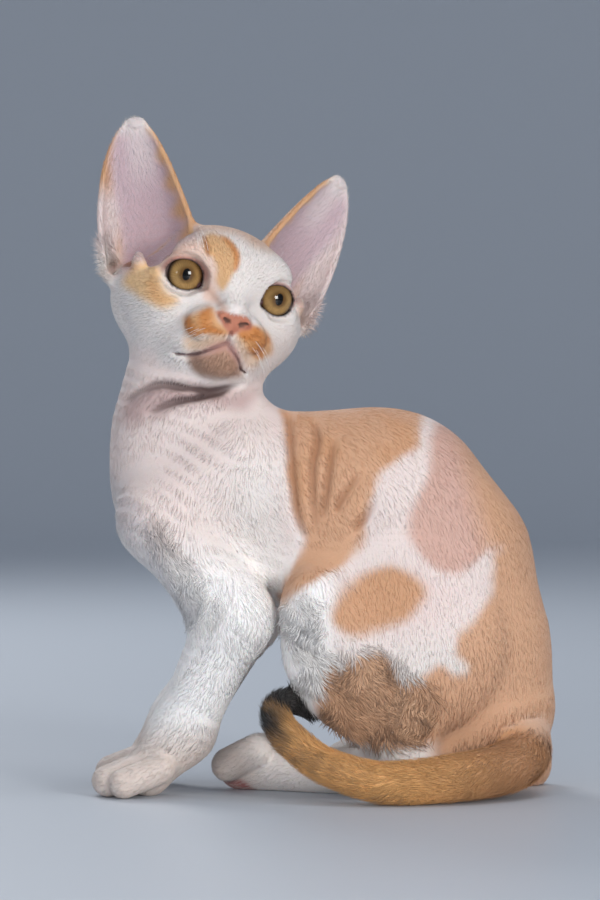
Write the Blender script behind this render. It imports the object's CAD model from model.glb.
import bpy
import numpy as np
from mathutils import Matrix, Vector


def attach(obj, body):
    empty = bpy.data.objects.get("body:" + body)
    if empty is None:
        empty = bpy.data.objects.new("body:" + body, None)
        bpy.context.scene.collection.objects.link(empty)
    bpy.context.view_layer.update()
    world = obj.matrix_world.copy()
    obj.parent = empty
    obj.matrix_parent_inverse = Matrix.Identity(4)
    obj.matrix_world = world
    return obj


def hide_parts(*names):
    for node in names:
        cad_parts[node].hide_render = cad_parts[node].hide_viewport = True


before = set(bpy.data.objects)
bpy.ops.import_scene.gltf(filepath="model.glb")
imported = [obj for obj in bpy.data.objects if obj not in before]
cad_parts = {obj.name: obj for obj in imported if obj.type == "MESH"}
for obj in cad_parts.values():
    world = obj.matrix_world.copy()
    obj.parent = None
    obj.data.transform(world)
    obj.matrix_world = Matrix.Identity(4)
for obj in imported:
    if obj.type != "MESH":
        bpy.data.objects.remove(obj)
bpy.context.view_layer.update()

rng = np.random.default_rng(11)
mm = 0.001

# The pose is in millimetres in the kitten's own frame: -x is where the chest faces, -y its left side
bodyCentre = np.array([2.3, -9.8, 0.0])
photo = {"distance": 1800.0, "eyeHeight": 180.0, "target": (-7.6, 0.0, 139.8), "pitch": 1.28, "lens": 175.6}


def toWorld(p):
    # the kitten's millimetres to the scene's metres
    return (np.asarray(p, float) - bodyCentre) * mm


# Distance fields: negative inside, worked out for all points at once
def length(v):
    # one length for each row
    return np.sqrt((v * v).sum(axis=1))


def unit(v):
    # one vector brought to a length of 1
    return v / np.sqrt(v @ v)


def ballReach(p, at, radii):
    # distance from the middle in units of the three radii: 1 on the ball's surface
    return length((p - np.array(at)) / np.array(radii))


def ballField(p, at, radii):
    # for q, the point in units of the three radii: |q| (|q| - 1) / |q / radii|
    q = (p - np.array(at)) / np.array(radii)
    near = length(q)
    return near * (near - 1) / np.maximum(length(q / np.array(radii)), 1e-6)


def limbField(p, a, ra, b, rb, narrow=1.0):
    # distance to the line from a to b less a radius that runs from ra to rb; narrow squeezes it in y
    squeeze = np.array([1, 1 / narrow, 1])
    along = (np.array(b) - a) * squeeze
    q = (p - np.array(a)) * squeeze
    t = np.clip(q @ along / (along @ along), 0, 1)
    return length(q - t[:, None] * along) - (ra + t * (rb - ra))


def smoothMin(d, e, melt):
    # the lower of two, less h squared / 4 melt where they differ by less than melt
    h = np.maximum(melt - np.abs(d - e), 0)
    return np.minimum(d, e) - h * h / (4 * melt)


def smoothMax(d, e, melt):
    # the higher of two, rounded in the same way
    return -smoothMin(-d, -e, melt)


def blend(melt, *fields):
    # the lowest of many, each one melted into those before it
    whole = fields[0]
    for field in fields[1:]:
        whole = smoothMin(whole, field, melt)
    return whole


def smoothStep(low, high, x):
    # 0 at low and 1 at high, 3 t squared - 2 t cubed between them; high may be the lower one
    t = np.clip((x - low) / (high - low), 0, 1)
    return t * t * (3 - 2 * t)


def bell(d, depth, width):
    # depth times e to the minus (d / width) squared
    return depth * np.exp(-(d / width) ** 2)


def ripple(p, size, seed, count=9):
    # a smooth random field of about -1 to 1: the sum of sine waves in random directions
    draw = np.random.default_rng(seed)
    ways = draw.normal(size=(count, 3)) / size
    return np.sin(p @ ways.T + draw.uniform(0, 6.28, count)).sum(axis=1) / np.sqrt(count)


def turn(axis, degrees):
    # the turn about one axis, as a matrix of its cosine and sine
    c, s = np.cos(np.radians(degrees)), np.sin(np.radians(degrees))
    i, j = (axis + 1) % 3, (axis + 2) % 3
    m = np.eye(3)
    m[i, i] = m[j, j] = c
    m[i, j], m[j, i] = -s, s
    return m


def curveThrough(stops, count, closed=False):
    # Catmull-Rom curve through the stops, evenly spaced in the stops' own parameter
    stops = np.asarray(stops, float)
    n = len(stops)
    t = np.linspace(0, n if closed else n - 1, count, endpoint=not closed)
    i = np.minimum(t.astype(int), n - 1 if closed else n - 2)
    f = (t - i)[:, None]
    pick = (lambda k: stops[k % n]) if closed else (lambda k: stops[np.clip(k, 0, n - 1)])
    a, b, c, d = pick(i - 1), pick(i), pick(i + 1), pick(i + 2)
    return 0.5 * (2 * b + (c - a) * f + (2 * a - 5 * b + 4 * c - d) * f**2 + (3 * b - a - 3 * c + d) * f**3)


def nearBox(p, low, high, field, reach=14.0):
    # the field inside a box grown by reach, and the plain distance to the box further off
    gap = np.maximum(np.maximum(low - p, p - high), 0)
    d = length(gap) + 1.0
    close = d < reach + 1
    d[close] = field(p[close])
    return d


def nearPath(p, path, reach=30.0):
    # distance to a line of points and the share of the line where it is nearest; far points get reach
    d = np.full(len(p), reach)
    share = np.zeros(len(p))
    inside = ((p > path.min(0) - reach) & (p < path.max(0) + reach)).all(axis=1)
    q = p[inside]
    best = np.full(len(q), reach)
    where = np.zeros(len(q))
    for i, (a, b) in enumerate(zip(path[:-1], path[1:])):
        ab = b - a
        t = np.clip((q - a) @ ab / (ab @ ab), 0, 1)
        e = length(q - a - t[:, None] * ab)
        nearer = e < best
        best = np.where(nearer, e, best)
        where = np.where(nearer, (i + t) / (len(path) - 1), where)
    d[inside], share[inside] = best, where
    return d, share


# Trunk: spine from breastbone to seat as x, z, radius
trunk = {
    "chain": [
        (-57, 124, 28.5), (-28, 121, 35.5), (8, 112, 43), (27, 112, 43.5), (44, 90, 43.5), (56, 60, 38),
        (63, 35, 35),
    ],
    "narrow": 0.84, "melt": 9.0, "legMelt": 10.0,
    "neck": ((-56, 0, 150), 29, (-48, -1, 186), 27), "neckNarrow": 0.88, "neckMelt": 16.0,
}
sink = 0.9  # soles and the lying tail are pressed flat by this much


def torsoField(p):
    # a limb between each two rings of the spine, melted together and into the neck
    rings = [((x, 0, z), r) for x, z, r in trunk["chain"]]
    links = [limbField(p, *a, *b, trunk["narrow"]) for a, b in zip(rings[:-1], rings[1:])]
    neck = limbField(p, *trunk["neck"], trunk["neckNarrow"])
    return smoothMin(blend(trunk["melt"], *links), neck, trunk["neckMelt"])


# Legs: each bone is start, radius, end, radius; the left is the side nearer to the camera
foreleg = {
    "blade": (-34, 17, 136), "point": (-64, 20, 112), "bladeRadius": 15, "pointRadius": 17, "melt": 9.0,
    "left": {"elbow": (-34, -30, 73), "wrist": (-55.5, -19, 26), "radii": (15.5, 12.5), "heading": 188},
    "right": {"elbow": (-30, 29, 72), "wrist": (-56, 22.5, 27), "radii": (15.5, 13), "heading": 178},
}
hindleg = {
    "melt": 12.0,
    "left": {
        "thigh": ((29, -31, 62), (45, 16, 41)), "knee": (-1, -37, 80), "heel": (40, -26), "radii": (14, 10.2),
        "toes": (-32, 6.5),
    },
    "right": {
        "thigh": ((46, 30, 61), (42, 16, 40)), "knee": (17, 37, 78), "heel": (85, 24), "radii": (14, 9.7),
        "toes": (14, 31),
    },
}
forepaw = {
    "palm": 14, "palmRadius": 10.6, "toe": 30.5, "length": 15, "outer": 5.5, "toeRadius": 6.9,
    "knuckle": 11.5, "raise": 0, "spread": 7.8, "melt": 1.0,
}
hindpaw = {
    "footRadius": 9.8, "toe": 4.2, "length": 12, "outer": 2.5, "toeRadius": 7.7, "knuckle": 16, "raise": 3.6,
    "spread": 5.9, "melt": 0.8,
}


def pawPlan(at, heading, sizes):
    # the four toes side by side along the heading, the outer two shorter
    forward = np.array([np.cos(np.radians(heading)), np.sin(np.radians(heading)), 0])
    across = np.array([-forward[1], forward[0], 0])
    foot = np.array([at[0], at[1], 0.0])
    r, spread = sizes["toeRadius"], sizes["spread"]
    toes = []
    for n in (-1.5, -0.5, 0.5, 1.5):
        reach = sizes["toe"] - (sizes["outer"] if abs(n) > 1 else 0)
        back = foot + (reach - sizes["length"]) * forward + n * spread * 0.8 * across
        front = foot + reach * forward + n * spread * across
        back, front = back + (0, 0, sizes["knuckle"]), front + (0, 0, r - sink + sizes["raise"])
        toes.append((back, r, front, r * 0.95))
    return {"forward": forward, "across": across, "foot": foot, "toes": toes}


def foreBones(side):
    # shoulder blade, upper arm, forearm and paw of one side
    plan = foreleg["left" if side < 0 else "right"]
    flip = np.array([1, side, 1])
    blade, point = foreleg["blade"] * flip, foreleg["point"] * flip
    elbow, wrist = np.array(plan["elbow"]), np.array(plan["wrist"])
    paw = pawPlan(wrist, plan["heading"], forepaw)
    palmAt = paw["foot"] + forepaw["palm"] * paw["forward"] + (0, 0, forepaw["palmRadius"] - sink)
    re, rw = plan["radii"]
    rp = foreleg["pointRadius"]
    return {
        "paw": paw, "melt": foreleg["melt"], "toeMelt": forepaw["melt"],
        "upper": [(blade, foreleg["bladeRadius"], point, rp), (point, rp, elbow, re)],
        "shin": (elbow, re, wrist, rw), "palm": (wrist, rw, palmAt, forepaw["palmRadius"]),
    }


def hindBones(side):
    # thigh, shin from knee to heel, and the foot that lies on the floor from heel to toes
    plan = hindleg["left" if side < 0 else "right"]
    rk, rh = plan["radii"]
    knee, heel = np.array(plan["knee"]), np.array([*plan["heel"], rh - sink])
    sole = np.array([*plan["toes"], hindpaw["footRadius"] - sink])
    way = sole - heel
    paw = pawPlan(plan["toes"], np.degrees(np.arctan2(way[1], way[0])), hindpaw)
    return {
        "paw": paw, "melt": hindleg["melt"], "toeMelt": hindpaw["melt"], "thigh": plan["thigh"], "upper": [],
        "shin": (knee, rk, heel, rh), "palm": (heel, rh, sole, hindpaw["footRadius"]),
    }


legs = {
    "foreLeft": foreBones(-1), "foreRight": foreBones(1),
    "hindLeft": hindBones(-1), "hindRight": hindBones(1),
}


def legBox(leg):
    # the lowest and highest corners of all the leg's bones
    bones = [leg["shin"], leg["palm"], *leg["upper"], *leg["paw"]["toes"]]
    ends = [(np.array(at, float), r) for a, ra, b, rb in bones for at, r in ((a, ra), (b, rb))]
    if "thigh" in leg:
        ends.append((np.array(leg["thigh"][0], float), np.array(leg["thigh"][1])))
    return np.min([at - r for at, r in ends], axis=0), np.max([at + r for at, r in ends], axis=0)


for leg in legs.values():
    leg["box"] = legBox(leg)


def legField(p, leg):
    # the leg's own shape near it, and a plain distance further off
    return nearBox(p, *leg["box"], lambda q: legShape(q, leg))


def legShape(p, leg):
    # upper leg, lower leg and foot run into one another by their own melts
    toes = [limbField(p, *toe) for toe in leg["paw"]["toes"]]
    foot = blend(leg["toeMelt"], *toes, limbField(p, *leg["palm"]))
    lower = smoothMin(limbField(p, *leg["shin"]), foot, leg["melt"])
    if "thigh" in leg:
        return smoothMin(ballField(p, *leg["thigh"]), lower, leg["melt"])
    return blend(leg["melt"], *[limbField(p, *bone) for bone in leg["upper"]], lower)


# Tail: a curve along the floor whose tip curls up, as x, y, z, radius
tail = {
    "stops": [
        (70, 6, 32, 12), (81, -6, 24, 12.8), (83, -21, 17, 12.4), (74, -38, 12.6, 11.8), (58, -52, 10.8, 11),
        (42, -59, 9.6, 10.4), (26, -60.5, 9.2, 9.9), (12, -58, 12, 9.3), (0, -54, 16.5, 8.9),
        (-9, -49, 23, 8.5), (-15.5, -43.5, 30, 8.1), (-17, -37, 36, 7.6), (-13.5, -30.5, 38.8, 7),
        (-8, -26, 37.5, 6.3), (-4, -24, 34.5, 5),
    ],
    "melt": 6.0, "count": 57,
}
tailLine = curveThrough(tail["stops"], tail["count"])


def nearTail(p):
    # distance to the tail's line less its radius there, and the share of the line from the root
    d, share = nearPath(p, tailLine[:, :3])
    return d - np.interp(share, np.linspace(0, 1, len(tailLine)), tailLine[:, 3]), share


def tailField(p):
    # negative inside the tail
    return nearTail(p)[0]


# Head, in its own frame: x across with the kitten's left positive, -y out of the face, z up
head = {"at": (-40.8, -6, 205), "tilt": 15.6, "turn": 17, "nod": 6.3}
headAt = np.array(head["at"], float)
headAxes = turn(1, head["tilt"]) @ turn(2, head["turn"]) @ turn(0, -head["nod"])
skull = {
    "crown": ((0, 4, 5), (29, 30, 22)), "cheek": ((20, -1, -9), (16, 17, 15)),
    "jowl": ((26, 12, -8), (15, 15, 18)), "throat": ((0, 0, -18), (24, 21, 13)), "melt": 9.0,
}
muzzle = {
    "bridge": ((0, -14, 3), 10, (0, -29, -10), 5.5), "base": ((0, -21, -17), (14.5, 12.5, 10)),
    "lip": ((8.5, -25, -18), (9.3, 8, 7.6)), "chin": ((0, -22, -28), (11, 9.5, 9)),
    "jaw": ((11, -12.5, -25), (9, 11.5, 9)), "nose": ((0, -29.8, -12), (6.2, 4, 4.4)), "melt": 4.0,
}
brow = {"lump": ((15, -10, 11), (11, 9, 7)), "melt": 4.0, "faceMelt": 6.0, "throatMelt": 12.0}


def toHead(p):
    # from the kitten's frame to the head's
    return (p - headAt) @ headAxes


def fromHead(q):
    # and back again
    return np.asarray(q, float) @ headAxes.T + headAt


def twins(q, lump):
    # the same ball on both sides
    at, radii = lump
    return [ballField(q, (side * at[0], at[1], at[2]), radii) for side in (1, -1)]


def faceShape(q):
    # skull, muzzle and brows, each melted within itself and then into one another
    bone = blend(skull["melt"], ballField(q, *skull["crown"]), *twins(q, skull["cheek"]),
                 *twins(q, skull["jowl"]), ballField(q, *skull["throat"]))
    nose = blend(muzzle["melt"], limbField(q, *muzzle["bridge"]), ballField(q, *muzzle["base"]),
                 *twins(q, muzzle["lip"]), *twins(q, muzzle["jaw"]), ballField(q, *muzzle["chin"]),
                 ballField(q, *muzzle["nose"]))
    return blend(brow["faceMelt"], bone, nose, blend(brow["melt"], *twins(q, brow["lump"])))


headBox = (np.array([-45.0, -36, -42]), np.array([45.0, 38, 32]))


def faceField(q):
    # the head without its ears
    return nearBox(q, *headBox, faceShape, 20.0)


# Eye: the opening is a rounded almond seen along the gaze, widest towards the nose and a little below
eye = {
    "at": (19.1, -6.2, 1.6), "shift": 0.9, "radius": 10.0, "out": 9, "up": 4.5, "wide": 7.6, "high": 6.05,
    "corner": -23, "cornerReach": 0.9, "cornerWide": 0.27, "lid": 0.9, "lidSunk": 1.2, "lidEnd": 1.6,
    "creaseAt": 1.36, "creaseDepth": 0.25, "creaseWide": 0.1,
}
eyeAxes = turn(2, eye["out"]) @ turn(0, eye["up"])


def eyeAt(side):
    # in the photo both eyes stand a little to the kitten's left
    return np.array(eye["at"]) + (eye["shift"] * side, 0, 0)


def toEye(q, side):
    # across the opening (outwards), along the gaze (negative in front), up
    return (q * (side, 1, 1) - eyeAt(side)) @ eyeAxes


def eyeFront(e):
    # 1 in front of the ball's middle, 0 behind it
    return smoothStep(2, -3, e[:, 1])


def openingReach(angle):
    # radius of the opening at an angle from the inner side: an ellipse and a pointed inner corner
    plain = 1 / np.sqrt((np.cos(angle) / eye["wide"]) ** 2 + (np.sin(angle) / eye["high"]) ** 2)
    off = (angle - np.radians(eye["corner"]) + np.pi) % (2 * np.pi) - np.pi
    return plain + bell(off, eye["cornerReach"], eye["cornerWide"])


def openingShare(e):
    # 1 on the edge of the opening, less inside it
    return np.hypot(e[:, 0], e[:, 2]) / openingReach(np.arctan2(e[:, 2], -e[:, 0]))


# Ear: a half cup between an inner and an outer rim, in its own frame of across, back and height
ear = {
    "inner": (13.8, 4, 28.5), "outer": (47.3, 16, -6.1), "tip": (46.8, 22, 63),
    "innerWidth": 21, "innerCurve": (1.05, 0.55), "outerWidth": 20.5, "outerCurve": (2.2, 0.62),
    "depth": 17, "wall": 2.3, "root": -19, "melt": 5.0, "least": 1.6,
    "scoop": ((-3.0, -6.0, 3.0), (15.0, 14.5, 14.0)), "scoopMelt": 6.5,
    "canal": ((8.0, -1.2, -5.0), (2.8, 4.6, 3.0)), "canalMelt": 2.0,
    "tragus": ((3.9, -8.6, -8.0), 2.3, (3.9, -7.2, -5.8), 1.9), "tragusMelt": 5.0,
    "lobe": ((17.0, 3.0, -4.0), (7.0, 9.0, 11.0)),
}
earBase = (np.array(ear["inner"], float) + ear["outer"]) / 2
earUp = np.array(ear["tip"]) - earBase
earTall = np.sqrt(earUp @ earUp)
earUp = earUp / earTall
earAcross = np.array(ear["outer"], float) - ear["inner"]
earAcross = unit(earAcross - (earAcross @ earUp) * earUp)
earBack = np.cross(earUp, earAcross)
earAxes = np.stack([earAcross, earBack, earUp], axis=1)
earBox = (np.array([-23.0, -3, -20]), np.array([23.0, 18, earTall + 1]))


def toEar(q, side):
    # across (outwards), back and up the ear
    return (q * (side, 1, 1) - earBase) @ earAxes


def innerWidth(share):
    # the full width times (1 - share to one power) to another
    return ear["innerWidth"] * (1 - share ** ear["innerCurve"][0]) ** ear["innerCurve"][1]


def outerWidth(share):
    # the same for the outer rim
    return ear["outerWidth"] * (1 - share ** ear["outerCurve"][0]) ** ear["outerCurve"][1]


def cupReach(a, b, share, closing, least):
    # distance from the ear's middle line as a share of its half ellipse at this height, and that ellipse
    width = np.maximum(np.where(a < 0, innerWidth(share), outerWidth(share)) * closing, least)
    depth = np.maximum(ear["depth"] * (1 - share) ** 0.8 * closing, least)
    return np.sqrt((a / width) ** 2 + (b / depth) ** 2), width, depth


def earShape(e):
    # half an ellipse in each cross-section with a wall inside it, closed at the root, and a pad at the tip
    a, b, h = e.T
    closing = np.sqrt(np.clip(1 - (np.minimum(h, 0) / ear["root"]) ** 4, 0, 1))
    reach, width, depth = cupReach(a, b, np.clip(h / earTall, 0, 1), closing, ear["least"])
    steep = np.sqrt((a / width**2) ** 2 + (b / depth**2) ** 2) / np.maximum(reach, 1e-6)
    fromRim = (reach - 1) / np.maximum(steep, 0.02)
    wall = np.abs(fromRim + ear["wall"] / 2) - ear["wall"] / 2
    wall = smoothMax(wall, -b - 0.3, 1.0)
    wall = smoothMax(smoothMax(wall, h - earTall + 1.0, 1.5), ear["root"] - h, 1.0)
    pad = np.sqrt((a * 0.7) ** 2 + (b - 1.2) ** 2 + (h - earTall + 3.6) ** 2) - 2.2
    return smoothMin(wall, pad, 2.0)


def earField(q, side):
    # one ear in the head's frame
    return nearBox(toEar(q, side), *earBox, earShape, 8.0)


def besideEar(q, side):
    # 1 on the ear and on the hollow scooped out of the head in front of it, 0 elsewhere
    hollow = smoothStep(3.5, 1.2, np.abs(ballField(toEar(q, side), *ear["scoop"])))
    return np.maximum(smoothStep(2.5, 0.5, earField(q, side)), hollow * smoothStep(9, 2, faceField(q)))


# Lines pressed into the skin: mouth, philtrum, folds of the neck and of the flank
def onFace(x, z, depth=0.0):
    # the face's surface straight behind points of the front view, by steps of four fifths of the way left
    q = np.stack([x, np.full(len(x), -60.0), z], axis=1)
    for _ in range(60):
        q[:, 1] += 0.8 * (faceField(q) + depth)
    return q


def facePoint(x, z, depth=0.0):
    # the same for one point
    return onFace(np.array([x]), np.array([z]), depth)[0]


mouth = {
    "half": [
        (17.3, -30.6), (13.8, -30.9), (10.5, -30.4), (7.7, -28.5), (5.0, -26.5), (2.6, -24.9), (0, -23.3),
    ],
    "philtrumTop": -18.6, "under": 1.3, "philtrumUnder": 1.0, "backmost": -8,
    "slit": (1.2, 0.8), "valley": (0.5, 2.6), "philtrum": (0.7, 0.7),  # depth and width
}
mouthFlat = curveThrough(mouth["half"] + [(-x, z) for x, z in mouth["half"][-2::-1]], 49)
mouthPlaces = onFace(mouthFlat[:, 0], mouthFlat[:, 1], mouth["under"])
mouthPlaces = mouthPlaces[mouthPlaces[:, 1] < mouth["backmost"]]  # the ends behind this pass below the jaw
mouthLine = fromHead(mouthPlaces)
philtrumHeights = np.linspace(mouth["philtrumTop"], mouth["half"][-1][1], 7)
philtrumLine = fromHead(onFace(np.zeros(7), philtrumHeights, mouth["philtrumUnder"]))

# lines are x, z in the side view; each pair at "fades" is where across the body the folds end and are full
folds = {
    "flank": {
        "width": 2.1, "depth": 2.5, "fades": (2, -14),
        "lines": [
            [(-11.8, 156.3), (-11.8, 140.2), (-9.3, 114.2), (-5.7, 104.6)],
            [(-2.5, 150.6), (-0.9, 143.3), (-2.9, 130.4), (-1.6, 106.2)],
            [(5.9, 144.3), (3.1, 125.5), (1.4, 111.9)],
            [(15.8, 129.6), (8.4, 119.0), (7.2, 114.2)],
            [(22.3, 119.0), (18.2, 111.0), (13.3, 107.0)],
        ],
    },
    "neck": {
        "width": 1.9, "depth": 3.0, "fades": (0, -8),
        "lines": [
            [(-79.3, 159.9), (-73.2, 163.6), (-65.0, 166.5), (-54.7, 165.2), (-42.4, 164.4), (-32.2, 166.9)],
            [(-69.1, 155.4), (-58.8, 159.5), (-48.6, 161.1), (-38.3, 163.6)],
        ],
    },
}


def seen(p):
    # where a point falls in the side view that the photo gives, in millimetres at the body's middle
    shrink = photo["distance"] / (photo["distance"] + p[:, 1])
    return np.stack([p[:, 0] * shrink, photo["eyeHeight"] + (p[:, 2] - photo["eyeHeight"]) * shrink], axis=1)


def creases(p, plan):
    # valleys of bell-shaped section along lines of the side view, shallow at their ends
    view = seen(p)
    flat = np.stack([view[:, 0], np.zeros(len(p)), view[:, 1]], axis=1)
    total = np.zeros(len(p))
    for stops in plan["lines"]:
        line = curveThrough([(x, 0, z) for x, z in stops], 13)
        d, share = nearPath(flat, line, 12.0)
        ends = np.sqrt(np.clip(4 * share * (1 - share), 0, 1) * 0.9 + 0.1)
        total += bell(d, plan["depth"], plan["width"]) * ends
    return total * smoothStep(*plan["fades"], p[:, 1])


def creaseDepth(p):
    # depth of the folds of loose skin, which are only on the side that the photo shows
    depth = np.zeros(len(p))
    near = p[:, 1] < 12
    depth[near] = sum(creases(p[near], plan) for plan in folds.values())
    return depth


def lipLines(p):
    # distances to the mouth's line and to the philtrum
    return nearPath(p, mouthLine, 12.0)[0], nearPath(p, philtrumLine, 12.0)[0]


def pressed(p):
    # how far the skin is pressed in by all the lines
    m, f = lipLines(p)
    lips = bell(m, *mouth["slit"]) + bell(m, *mouth["valley"]) + bell(f, *mouth["philtrum"])
    return lips + creaseDepth(p)


waves = {"long": 6.4, "slant": 0.35, "bent": 2.6, "high": 0.2}


def wave(p):
    # the coat's waves: bands across the lie, bent by a slow random field
    phase = 2 * np.pi * (p[:, 2] + waves["slant"] * p[:, 0]) / waves["long"]
    return np.sin(phase + waves["bent"] * ripple(p, 13, 21)) * smoothStep(-0.6, 1.4, ripple(p, 11, 22))


# Nose: a hole and a slit on each side, under a small wing
nostril = {
    "at": (2.9, -15.0), "slit": (5.6, -13.6), "radius": 1.2, "slitRadius": 0.25,
    "wing": (1.6, 1.2, 1.6), "wingRadius": 1.5, "wingEnd": 1.1, "wingMelt": 1.6,
}
nostrilAt, slitAt = facePoint(*nostril["at"]), facePoint(*nostril["slit"])
hole = (nostrilAt, nostril["radius"], slitAt, nostril["slitRadius"])
wing = (nostrilAt + nostril["wing"], nostril["wingRadius"], slitAt, nostril["wingEnd"])

# The skin lies this far under the solids' surface, to leave room for the coat
coatDepth = {"body": 0.9, "tail": 2.0, "face": 0.45, "paw": 0.6}


def fleshField(p):
    # everything but the ears, as smooth as one body
    allLegs = blend(2.5, *[legField(p, leg) for leg in legs.values()])
    body = smoothMin(torsoField(p), allLegs, trunk["legMelt"])
    body = smoothMin(body, tailField(p), tail["melt"])
    return smoothMin(body, faceField(toHead(p)), brow["throatMelt"])


def skinField(p):
    # the flesh less the coat's depth, with lines and waves pressed in, and the head's details near the head
    q = toHead(p)
    tailNear = smoothStep(5, 0, tailField(p))
    headNear = smoothStep(8, 0, faceField(q))
    depth = coatDepth["body"] + (coatDepth["tail"] - coatDepth["body"]) * tailNear
    depth += (coatDepth["face"] - coatDepth["body"]) * headNear
    depth += (coatDepth["paw"] - coatDepth["body"]) * smoothStep(30, 18, p[:, 2]) * (1 - tailNear)
    onTrunk = (1 - headNear) * (1 - tailNear) * smoothStep(20, 34, p[:, 2])
    d = fleshField(p) + depth + pressed(p)
    d -= waves["high"] * wave(p) * onTrunk * smoothStep(20, -40, p[:, 0])
    near = length(q) < 95
    d[near] = headDetail(q[near], d[near])
    return d


def headDetail(q, d):
    # on each side: the scoop, the ear with its tragus and canal, the lids round the opening, and the nostril
    for side in (1, -1):
        e = toEar(q, side)
        d = smoothMax(d, -ballField(e, *ear["scoop"]), ear["scoopMelt"])
        d = smoothMin(d, earField(q, side), ear["melt"])
        d = smoothMin(d, limbField(e, *ear["tragus"]), ear["tragusMelt"])
        d = smoothMax(d, -ballField(e, *ear["canal"]), ear["canalMelt"])
        e = toEye(q, side)
        share, front = openingShare(e), eyeFront(e)
        inner = smoothStep(-2, -7, e[:, 0])
        lidBall = length(e) - eye["radius"] - eye["lid"]
        lidBall = lidBall - eye["lidSunk"] * inner * smoothStep(1.08, 1.3, share)
        crease = bell(share - eye["creaseAt"], eye["creaseDepth"], eye["creaseWide"])
        crease = crease * smoothStep(-1, 3, e[:, 2]) * smoothStep(-5, 1, e[:, 0])
        d = d + (lidBall - d) * smoothStep(eye["lidEnd"] - 0.28 * inner, 1.08, share) * front + crease * front
        opening = (1 - share) * eye["high"]
        d = np.where(front > 0, smoothMax(d, opening * front - (1 - front) * 9, 0.6), d)
        m = q * (side, 1, 1)
        d = smoothMin(d, limbField(m, *wing), nostril["wingMelt"])
        d = smoothMax(d, -limbField(m, *hole), 0.5)
    return d


# Meshing: a closed mesh of a field's zero surface on a grid of uneven lines
def gridLines(stops):
    # stops are start, spacing; the last one only ends the run
    lines = []
    for (start, spacing), (end, _) in zip(stops[:-1], stops[1:]):
        count = max(1, round((end - start) / spacing))
        lines.append(start + (end - start) * np.arange(count) / count)
    return np.append(np.concatenate(lines), stops[-1][0])


def sampleField(field, xs, ys, zs, step):
    # a coarse look first; only the cells that the surface may cross are worked out in full
    sizes = [len(v) for v in (xs, ys, zs)]
    coarse = [np.unique(np.append(np.arange(0, n, step), n - 1)) for n in sizes]
    cx, cy, cz = [v[i] for v, i in zip((xs, ys, zs), coarse)]
    grid = np.stack(np.meshgrid(cx, cy, cz, indexing="ij"), axis=-1).reshape(-1, 3)
    rough = field(grid).reshape(len(cx), len(cy), len(cz))
    halves = (slice(None, -1), slice(1, None))
    nearest = np.min(np.abs([rough[i, j, k] for i in halves for j in halves for k in halves]), axis=0)
    sx, sy, sz = [np.diff(v) for v in (cx, cy, cz)]
    diagonal = np.sqrt(sx[:, None, None] ** 2 + sy[None, :, None] ** 2 + sz[None, None, :] ** 2)
    wide = nearest < diagonal * 0.7 + 2.5
    for axis in range(3):
        wide |= np.roll(wide, 1, axis)
    cellOf = [np.searchsorted(c, np.arange(n), side="right") - 1 for c, n in zip(coarse, sizes)]
    cellOf = [np.clip(cell, 0, len(c) - 2) for cell, c in zip(cellOf, coarse)]
    value = rough[np.ix_(*cellOf)].copy()
    i, j, k = np.nonzero(wide[np.ix_(*cellOf)])
    print("  working out", len(i), "of", value.size, "grid points")
    value[i, j, k] = field(np.stack([xs[i], ys[j], zs[k]], axis=1))
    return value


def partDiagonals(value):
    # where a grid face has its inside corners on one diagonal, the weaker corner goes outside
    flat = value.reshape(-1)
    sx, sy = value.shape[1] * value.shape[2], value.shape[2]
    base = np.arange(len(flat) - sx - sy - 1)
    for _ in range(6):
        changed = 0
        for u, v in ((sx, sy), (sy, 1), (1, sx)):
            a, b, c, d = [flat[base + s] < 0 for s in (0, u, v, u + v)]
            odd = base[(a == d) & (b == c) & (a != b)]
            first = flat[odd] < 0
            one = np.where(first, odd, odd + u)
            other = np.where(first, odd + u + v, odd + v)
            flat[np.where(flat[one] > flat[other], one, other)] = 1e-6
            changed += len(odd)
        if not changed:
            break


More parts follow.
